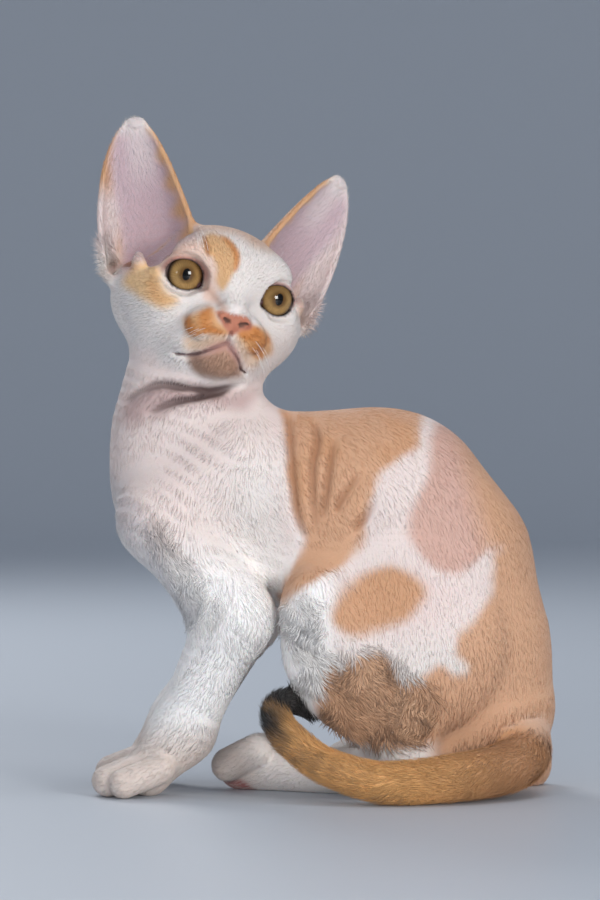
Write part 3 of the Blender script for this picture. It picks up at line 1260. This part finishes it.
# perArea is tufts a square millimetre; lift and wavy are shares of the length; the rest is in millimetres
columns = ("perArea", "long", "wide", "lift", "wavy", "sunk", "clump")
regions = {
    "face": (2.3, 2.0, 0.13, 0.055, 0.12, 0.1, 3.4),
    "ears": (1.7, 2.2, 0.16, 0.09, 0.12, 0.08, 3.4),
    "cups": (0.9, 2.6, 0.1, 0.08, 0.2, 0.05, 3.4),
    "lobes": (3.2, 4.4, 0.18, 0.44, 0.25, 0.15, 3.4),
    "trunk": (0.85, 3.4, 0.16, 0.03, 0.1, 0.13, 4),
    "chest": (1.0, 3.6, 0.16, 0.045, 0.2, 0.13, 4),
    "fringe": (1.3, 5.2, 0.34, 0.42, 0.7, 0.2, 6),
    "forelegs": (1.2, 3.5, 0.19, 0.085, 0.35, 0.14, 4),
    "curls": (1.4, 6.2, 0.4, 0.38, 1.0, 0.2, 5),
    "paws": (1.1, 2.2, 0.17, 0.06, 0.15, 0.08, 3.4),
    "tail": (1.7, 5.6, 0.25, 0.31, 0.3, 0.2, 5),
}


def bareness(p):
    # 1 where no tufts grow: eyes, nose leather, lips, ear canals, deep folds and what lies on the floor
    q = toHead(p)
    bare = smoothStep(0.9, 0.3, p[:, 2])
    for side in (1, -1):
        bare = np.maximum(bare, smoothStep(1.6, 1.2, ballReach(toEar(q, side), *ear["canal"])))
        e = toEye(q, side)
        bare = np.maximum(bare, smoothStep(1.36, 1.2, openingShare(e)) * eyeFront(e))
    bare = np.maximum(bare, inOutline(seen(p), "nose", 0.5) * smoothStep(0, -6, q[:, 1]))
    m, f = lipLines(p)
    bare = np.maximum(bare, smoothStep(2.6, 1.5, m) * smoothStep(14, 8, np.abs(q[:, 0])))
    bare = np.maximum(bare, smoothStep(1.8, 1.3, np.minimum(m, f + 0.2)))
    return np.maximum(bare, smoothStep(1.6, 2.8, creaseDepth(p)) * smoothStep(-20, -26, p[:, 0]) * 0.6)


def regionShares(p):
    # how much of each region a point belongs to
    x, y, z = p.T
    q, view = toHead(p), seen(p)
    onEars, cups, lobes = np.zeros((3, len(p)))
    for side in (1, -1):
        e = toEar(q, side)
        cup = cupShare(e)
        onEars = np.maximum(onEars, smoothStep(2.0, 0.3, earField(q, side)) * smoothStep(-8, 2, e[:, 2]))
        cups = np.maximum(cups, besideEar(q, side) * smoothStep(-14, -6, e[:, 2]) * cup)
        lobes = np.maximum(lobes, smoothStep(1.1, 0.7, ballReach(e, *ear["lobe"])) * (1 - cup))
    onEars = np.clip(onEars, 0, 1 - cups)
    onHead = smoothStep(9, 1, faceField(q)) * (1 - onEars - cups)
    onTail = smoothStep(4, 0.5, tailField(p)) * (1 - smoothStep(64, 74, x) * smoothStep(20, 30, z))
    rest = (1 - onHead) * (1 - onEars - cups) * (1 - onTail)
    low = smoothStep(24, 18, z) * rest
    rest = rest - low
    loose = np.maximum(inOutline(view, "curls", 3.0), inOutline(view, "belly", 3.0))
    loose = loose * rest * smoothStep(0, -12, y)
    fringe = inOutline(view, "fringe", 4.0) * rest * smoothStep(0, -10, y)
    rest = rest - np.maximum(loose, fringe)
    fringe = np.minimum(fringe, rest + np.maximum(loose, fringe) - loose)
    forelegs = smoothStep(-12, -20, x) * smoothStep(100, 84, z) * rest
    chest = smoothStep(-12, -20, x) * rest - forelegs
    return {
        "face": onHead * (1 - lobes), "ears": onEars * (1 - lobes), "lobes": lobes, "cups": cups,
        "tail": onTail, "paws": low, "curls": loose, "fringe": fringe, "forelegs": forelegs, "chest": chest,
        "trunk": rest - forelegs - chest,
    }


noseTip = np.array([0.0, -30.0, -11.0])


def coatLie(p, normals):
    # each bone gives its own direction, weighted by e to the minus distance / 5 mm; on the face it is away
    # from the nose, and on the ears up them
    q = toHead(p)
    lie = np.zeros_like(p)

    def add(distance, ways, weight=1.0):
        lie[:] += (weight * np.exp(-np.clip(distance, -2, 60) / 5.0))[:, None] * ways

    for (x0, z0, r0), (x1, z1, r1) in zip(trunk["chain"][:-1], trunk["chain"][1:]):
        way = unit(np.array([x1 - x0, 0, z1 - z0])) + (0, 0, -0.55)
        add(limbField(p, (x0, 0, z0), r0, (x1, 0, z1), r1, trunk["narrow"]), way)
    add(limbField(p, *trunk["neck"], trunk["neckNarrow"]), np.array([-0.15, 0, -1.0]), 1.5)
    for leg in legs.values():
        for bone in [*leg["upper"], leg["shin"], leg["palm"]]:
            add(limbField(p, *bone), unit(np.array(bone[2], float) - bone[0]), 1.6)
        for bone in leg["paw"]["toes"]:
            add(limbField(p, *bone), leg["paw"]["forward"] + (0, 0, -0.3), 1.5)
        if "thigh" in leg:
            add(ballField(p, *leg["thigh"]), np.array([0.25, 0, -0.95]), 1.6)
    d, share = nearTail(p)
    along = np.gradient(tailLine[:, :3], axis=0)
    along /= length(along)[:, None]
    place = share * (len(tailLine) - 1)
    add(d, np.stack([np.interp(place, np.arange(len(tailLine)), along[:, s]) for s in range(3)], axis=1), 3.0)
    away = q - noseTip
    away /= np.maximum(length(away), 1e-6)[:, None]
    add(faceField(q) - 2, (away + (0, 0.3, 0)) @ headAxes.T, 3.0)
    for side in (1, -1):
        up = (earUp * (side, 1, 1)) @ headAxes.T
        e = toEar(q, side)
        add(earField(q, side) * 3 + 6 * smoothStep(4, -6, e[:, 2]), up, 6.0)
        outward = (earAcross * (side, 1, 1)) @ headAxes.T + (0, 0, -0.2)
        add(12 * smoothStep(0.7, 1.2, ballReach(e, *ear["lobe"])), outward, 9.0)
    lie -= (lie * normals).sum(axis=1)[:, None] * normals
    return lie / np.maximum(length(lie), 1e-6)[:, None]


def growTufts(plan, corners, triangleNormals, maps, shares):
    # roots are spread evenly over the area; a tuft's middle line rises by the lift and bends back to its tip
    a, b, c = corners
    area = length(np.cross(b - a, c - a)) / 2
    want = np.cumsum(area * shares * plan["perArea"])
    count = int(want[-1])
    at = (np.arange(count) + rng.uniform(0, 1, count)) * (want[-1] / count)
    face = np.minimum(np.searchsorted(want, at), len(area) - 1)
    u, v = rng.uniform(0, 1, (2, count))
    u, v = np.where(u + v > 1, 1 - u, u), np.where(u + v > 1, 1 - v, v)
    weights = np.stack([1 - u - v, u, v], axis=0)[:, :, None]
    roots = sum(w * x[face] for w, x in zip(weights, corners))
    normals = sum(w * x[face] for w, x in zip(weights, triangleNormals))
    normals /= length(normals)[:, None]
    rootMap = sum(w * x[face] for w, x in zip(weights, maps))
    lie = coatLie(roots, normals)
    across = np.cross(normals, lie)
    swing = plan["wavy"] * np.sin(ripple(roots, plan["clump"], 31) * 2.2)
    swing += rng.normal(0, coat["jitter"], count)
    lie = np.cos(swing)[:, None] * lie + np.sin(swing)[:, None] * across
    across = np.cross(normals, lie)
    crest = wave(roots)
    size = rng.uniform(*coat["size"], count) * (1 + 0.12 * ripple(roots, 9, 33))
    long = plan["long"] * size
    wide = plan["wide"] * (0.8 + 0.4 * size)
    lift = plan["lift"] * (1 + 0.5 * plan["wavy"] * crest) * rng.uniform(0.7, 1.3, count)
    curl = plan["wavy"] * 0.25 * ripple(roots, plan["clump"], 35)
    points = np.empty((count, 7, 3))
    for ring, (s, taper) in enumerate(zip(coat["bend"], coat["taper"])):
        rise = lift * s * (1 - 0.45 * s)
        middle = roots + (long * s)[:, None] * lie + (long * rise)[:, None] * normals
        middle += (long * curl * s * (1 - s) * 2)[:, None] * across
        if ring == 0:
            middle -= plan["sunk"] * normals
        if ring < 2:
            half = (wide * taper / 2)[:, None] * across
            points[:, 3 * ring] = middle - half
            points[:, 3 * ring + 1] = middle + half
            points[:, 3 * ring + 2] = middle + (wide * coat["thick"] * taper)[:, None] * normals
        else:
            points[:, 6] = middle
    points[:, :, 2] = np.maximum(points[:, :, 2], coat["ground"])  # nothing goes through the floor
    return points, roots, rootMap


# A tuft's seven points: three at the root, three at the bend, one at the tip
tuftFaces = np.array([
    (0, 1, 2), (0, 3, 4), (0, 4, 1), (1, 4, 5), (1, 5, 2),
    (2, 5, 3), (2, 3, 0), (3, 6, 4), (4, 6, 5), (5, 6, 3),
])
tuftPatch = np.array([(-0.5, -0.5), (0.5, -0.5), (0, -0.3), (-0.4, 0.1), (0.4, 0.1), (0, 0.2), (0, 0.5)])


def tuftPiece(name, points, roots, rootMap):
    # one mesh of many tufts, each in the colour of its root with a little of its own
    count = len(points)
    faces = (np.arange(count)[:, None, None] * 7 + tuftFaces).reshape(-1, 3)
    piece = makePiece(name, points.reshape(-1, 3), faces, furFinish)
    shade = coatColour(roots) * (1 + coat["vary"] * rng.normal(0, 1, count))[:, None]
    shade = np.repeat(shade[:, None, :], 7, axis=1)
    shade[:, :3] *= coat["rootShade"]
    paint(piece, np.clip(shade, 0, 1).reshape(-1, 3))
    flat = (rootMap[:, None, :] + coat["patch"] * tuftPatch)[:, tuftFaces].reshape(-1, 2)
    layer = piece.data.uv_layers.new(name="OFBake")
    layer.data.foreach_set("uv", flat.astype(np.float32).ravel())


def wholeCoat(quads):
    # region by region over the skin's triangles, in pieces of a limited number of tufts
    split = np.concatenate([quads[:, [0, 1, 2]], quads[:, [0, 2, 3]]])
    maps = [np.concatenate([skinMap[:, i], skinMap[:, j]]) for i, j in ((0, 0), (1, 2), (2, 3))]
    corners = [skinPoints[split[:, k]] for k in range(3)]
    cornerNormals = [skinNormals[split[:, k]] for k in range(3)]
    middles = sum(corners) / 3
    grows = 1 - bareness(middles)
    total = 0
    for name, share in regionShares(middles).items():
        plan = dict(zip(columns, regions[name]))
        points, roots, rootMap = growTufts(plan, corners, cornerNormals, maps, share * grows)
        parts = int(np.ceil(len(points) / coat["most"]))
        order = np.argsort(roots[:, 0] + 0.3 * roots[:, 2], kind="stable")
        for n, pick in enumerate(np.array_split(order, parts)):
            title = "coat_" + name + ("_" + str(n + 1) if parts > 1 else "")
            tuftPiece(title, points[pick], roots[pick], rootMap[pick])
        total += len(points)
        print("  ", name, len(points), "tufts in", parts, "pieces")
    print("coat has", total, "tufts")


print("growing the coat")
wholeCoat(skinQuads)

# Eyes: a ball with rings close together at the gaze, coloured ring by ring
iris = {
    "rings": 72, "spokes": 160, "reach": 1.75, "size": 7.2, "edge": 1.0, "pupil": (1.6, 2.7), "fibres": 46,
    "at": {1: (-0.3, 0.5), -1: (-0.5, 0.1)}, "third": (-8.6, -3.8), "thirdSize": (3.3, 2.6),
    "coatIor": 1.34, "specular": 0.05,
}
irisTones = {
    "inner": tone(98, 70, 38), "middle": tone(156, 124, 76), "outer": tone(128, 98, 60),
    "edge": tone(34, 22, 14), "white": tone(150, 124, 118), "pupil": tone(8, 7, 7), "third": tone(92, 64, 68),
}


def eyeColour(e, side):
    # rings by distance from the pupil's middle, with fibres that run outwards
    x, z = e[:, 0] - iris["at"][side][0], e[:, 2] - iris["at"][side][1]
    r = np.hypot(x, z)
    angle = np.arctan2(z, x)
    fibre = np.sin(angle * iris["fibres"] + 2.5 * np.sin(angle * 7 + r)) * 0.5
    fibre += np.sin(angle * 83 + r * 1.7) * 0.35
    fleck = ripple(np.stack([x, r, z], axis=1), 0.55, 41)
    c = mix(np.tile(irisTones["inner"], (len(e), 1)), irisTones["middle"], smoothStep(2.2, 4.6, r))
    c = mix(c, irisTones["outer"], smoothStep(5.0, 6.8, r))
    c = mix(c, irisTones["inner"], smoothStep(0.5, 5.0, z + 0.6 * fleck) * 0.6)
    c = c * (1 + 0.2 * fibre * smoothStep(1.5, 3, r) + 0.08 * fleck)[:, None]
    c = mix(c, irisTones["edge"], smoothStep(iris["size"] - iris["edge"] - 0.5, iris["size"], r))
    c = mix(c, irisTones["white"], smoothStep(iris["size"] + 0.2, iris["size"] + 0.9, r))
    wide, high = iris["pupil"]
    slit = np.hypot(x / wide, z / high) * (1 + 0.12 * np.abs(np.sin(angle)) ** 6)
    c = mix(c, irisTones["pupil"], smoothStep(1.12, 0.94, slit))
    corner = np.hypot(e[:, 0] - iris["third"][0], e[:, 2] - iris["third"][1])
    return np.clip(mix(c, irisTones["third"], smoothStep(*iris["thirdSize"], corner + 0.5 * fleck)), 0, 1)


eyeFinish, eyeShader = paintedMaterial(
    "wet eye", (2600, 0.12), roughness=0.22, coat=1.0, coatRoughness=0.03)
eyeShader.inputs["Coat IOR"].default_value = iris["coatIor"]
eyeShader.inputs["Specular IOR Level"].default_value = iris["specular"]


def eyeball(name, side, node):
    # latitude rings round the gaze: the angle from it is the ring's share, squeezed towards the front
    share = np.linspace(0, 1, iris["rings"] + 1)[1:-1]
    polar = np.pi * share ** iris["reach"]
    turnAt = np.linspace(0, 2 * np.pi, iris["spokes"], endpoint=False)
    r = eye["radius"]
    e = np.stack([
        r * np.sin(polar)[:, None] * np.cos(turnAt), -r * np.cos(polar)[:, None] * np.ones_like(turnAt),
        r * np.sin(polar)[:, None] * np.sin(turnAt),
    ], axis=-1).reshape(-1, 3)
    e = np.concatenate([e, [(0, -r, 0), (0, r, 0)]])
    rings, spokes = len(polar), iris["spokes"]
    k = np.arange(spokes)
    n = (k + 1) % spokes
    last = (rings - 1) * spokes
    faces = np.concatenate([
        tubeFaces(rings, spokes), np.stack([k, n, np.full(spokes, len(e) - 2)], axis=1)[:, ::-1],
        np.stack([last + k, last + n, np.full(spokes, len(e) - 1)], axis=1),
    ])
    if side < 0:
        faces = faces[:, ::-1]
    q = (e @ eyeAxes.T + eyeAt(side)) * (side, 1, 1)
    piece = makePiece(name, fromHead(q), faces, eyeFinish)
    paint(piece, eyeColour(e, side))
    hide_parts(node)


eyeball("eyeball_left", 1, "eye_left")
eyeball("eyeball_right", -1, "eye_right")
print("eyes made")

# Whiskers: thin tapering threads from the pads and brows, as short and bent as the breed has them
whiskers = {
    "rows": 2, "eachRow": 3, "brows": 3, "long": 15.0, "wide": 0.15, "tip": 0.85, "steps": 9, "sides": 5,
    "sunk": 0.8,
}


def threads(starts, ways, bends, lengths, width):
    # each thread is start + s L way + s squared L bend, with a round section that tapers to its tip
    s = np.linspace(0, 1, whiskers["steps"])
    path = s[None, :, None] * ways[:, None] + (s**2)[None, :, None] * bends[:, None]
    line = starts[:, None] + lengths[:, None, None] * path
    along = ways[:, None] + 2 * s[None, :, None] * bends[:, None]
    along /= np.sqrt((along**2).sum(axis=2, keepdims=True))
    one = np.cross(along, (0.3, 0.2, 0.93))
    one /= np.sqrt((one**2).sum(axis=2, keepdims=True))
    two = np.cross(along, one)
    angle = np.linspace(0, 2 * np.pi, whiskers["sides"], endpoint=False)
    radius = width / 2 * (1 - whiskers["tip"] * s)
    ring = np.cos(angle)[:, None] * one[:, :, None] + np.sin(angle)[:, None] * two[:, :, None]
    points = line[:, :, None] + radius[None, :, None, None] * ring
    steps, sides = whiskers["steps"], whiskers["sides"]
    k = np.arange(1, sides - 1)
    top = (steps - 1) * sides
    faces = np.concatenate([
        tubeFaces(steps, sides), np.stack([0 * k, k + 1, k], axis=1),
        np.stack([top + 0 * k, top + k, top + k + 1], axis=1),
    ])
    each = steps * sides
    return points.reshape(-1, 3), (np.arange(len(starts))[:, None, None] * each + faces).reshape(-1, 3)


def whisker(side, x, z, way, stray, bend, bendStray, shares):
    # where it starts on the face, its direction, its bend and its length, all but the first a little random
    flip = np.array([side, 1, 1])
    start = facePoint(x, z, whiskers["sunk"]) * flip
    way = unit(np.array(way) + rng.normal(0, stray, 3)) * flip
    bend = np.array(bend) * flip + rng.normal(0, bendStray, 3)
    return start, way, bend, whiskers["long"] * rng.uniform(*shares)


def whiskerPiece():
    # rows on the pads, low and outwards, and a few on the brows, upwards
    material, shader = newMaterial("white whisker", 0.4)
    plain = material.node_tree.nodes.new("ShaderNodeRGB")
    plain.outputs[0].default_value = (*tone(244, 240, 238), 1)
    mottled(material, shader, plain.outputs[0], (700, 0.15), None)
    grown = []
    for side in (1, -1):
        for row in range(whiskers["rows"]):
            for n in range(whiskers["eachRow"]):
                x = 10.4 + 2.2 * n + rng.uniform(-0.5, 0.5)
                z = -19.5 - 2.4 * row - 0.5 * n + rng.uniform(-0.4, 0.4)
                way = (0.85, -0.25 + 0.12 * n, -0.5 - 0.14 * row)
                grown.append(whisker(side, x, z, way, 0.1, (-0.1, 0.35, -0.25), 0.12, (0.45, 1.0)))
        for n in range(whiskers["brows"]):
            x, z, way = 14.0 + 2 * n, 11.5 + n % 2, (0.35, -0.35, 0.85)
            grown.append(whisker(side, x, z, way, 0.12, (0.1, 0.4, 0.0), 0.1, (0.4, 0.7)))
    starts, ways, bends, lengths = [np.array(v) for v in zip(*grown)]
    points, faces = threads(starts, ways, bends, lengths, whiskers["wide"])
    makePiece("whiskers", fromHead(points), faces, material)


whiskerPiece()
print("whiskers made")


# Floor, lamps and camera, in metres; the floor curves up into a wall on every side
stage = {
    "sides": 96, "rings": 14, "middle": 0.05, "flat": 2.4, "curve": 1.2, "bends": 16, "wall": (1.9, 2.8),
    "tone": (196, 203, 212), "surround": (0.85, 0.9, 1.0, 1), "surroundPower": 0.38,
}
# each lamp's place, the height of the point it faces, its size, power and colour, and whether gloss shows it
lamps = {
    "key": ((0.95, -1.45, 0.42), 0.14, 0.38, 15, (1, 0.98, 0.95), True),
    "fill": ((-0.8, -1.5, 0.5), 0.12, 0.2, 1.6, (0.98, 0.99, 1), True),
    "front": ((-0.5, -1.7, 0.16), 0.1, 1.1, 14, (0.98, 0.99, 1), False),
    "top": ((0.5, -0.3, 1.9), 0.15, 0.9, 6, (1, 1, 1), False),
    "rim": ((-0.6, 1.2, 1.0), 0.15, 0.6, 8, (1, 1, 1), True),
}


def place(name, data, at, aim):
    # an object at one point that looks at another
    holder = bpy.data.objects.new(name, data)
    holder.location = at
    holder.rotation_euler = (Vector(aim) - Vector(at)).to_track_quat("-Z", "Y").to_euler()
    bpy.context.scene.collection.objects.link(holder)
    return holder


def areaLight(name, at, aimHeight, size, power, colour, mirrored):
    # a square lamp that shows in glossy surfaces only if mirrored, and never in the camera
    lamp = bpy.data.lights.new(name, "AREA")
    lamp.size = size
    lamp.energy = power
    lamp.color = colour
    holder = place(name, lamp, at, (0, 0, aimHeight))
    holder.visible_glossy = mirrored
    holder.visible_camera = False


def studio():
    # a round floor whose radius and height follow a quarter circle into the wall
    turnAt = np.linspace(0, 2 * np.pi, stage["sides"], endpoint=False)
    bend = np.linspace(0, np.pi / 2, stage["bends"])
    flat, curve, rings = stage["flat"], stage["curve"], stage["rings"]
    n, edge = len(turnAt), flat + curve
    inner = np.linspace(stage["middle"], flat, rings)
    radius = np.concatenate([inner, flat + curve * np.sin(bend), [edge, edge]])[:, None]
    height = np.concatenate([np.zeros(rings), curve * (1 - np.cos(bend)), stage["wall"]])[:, None]
    points = np.stack([radius * np.cos(turnAt), radius * np.sin(turnAt), np.tile(height, n)], axis=-1)
    points = points.reshape(-1, 3)
    i, j = ringPairs(len(radius), n)
    faces = [*np.stack([i, i + n, j + n, j], axis=1).tolist(), list(range(n))]
    mesh = bpy.data.meshes.new("floor")
    mesh.from_pydata(points.tolist(), [], faces)
    mesh.polygons.foreach_set("use_smooth", np.ones(len(faces), bool))
    floor = bpy.data.objects.new("floor", mesh)
    bpy.context.scene.collection.objects.link(floor)
    material, shader = newMaterial("pale floor", 0.5)
    shader.inputs["Base Color"].default_value = (*tone(*stage["tone"]), 1)
    mesh.materials.append(material)
    world = bpy.data.worlds.new("surround")
    world.use_nodes = True
    world.node_tree.nodes["Background"].inputs["Color"].default_value = stage["surround"]
    world.node_tree.nodes["Background"].inputs["Strength"].default_value = stage["surroundPower"]
    bpy.context.scene.world = world
    bpy.context.scene.view_settings.view_transform = "Standard"
    for name, values in lamps.items():
        areaLight(name, *values)


def camera():
    # it looks down on the kitten's middle from as far as the photo was taken
    pitch = np.radians(photo["pitch"])
    aim = toWorld(photo["target"])
    view = bpy.data.cameras.new("camera")
    view.lens = photo["lens"]
    view.sensor_fit = "VERTICAL"
    view.sensor_height = 36
    view.clip_start = 0.05
    at = aim + photo["distance"] * mm * np.array([0, -np.cos(pitch), np.sin(pitch)])
    bpy.context.scene.camera = place("camera", view, at, aim)


studio()
camera()
print("stage set")
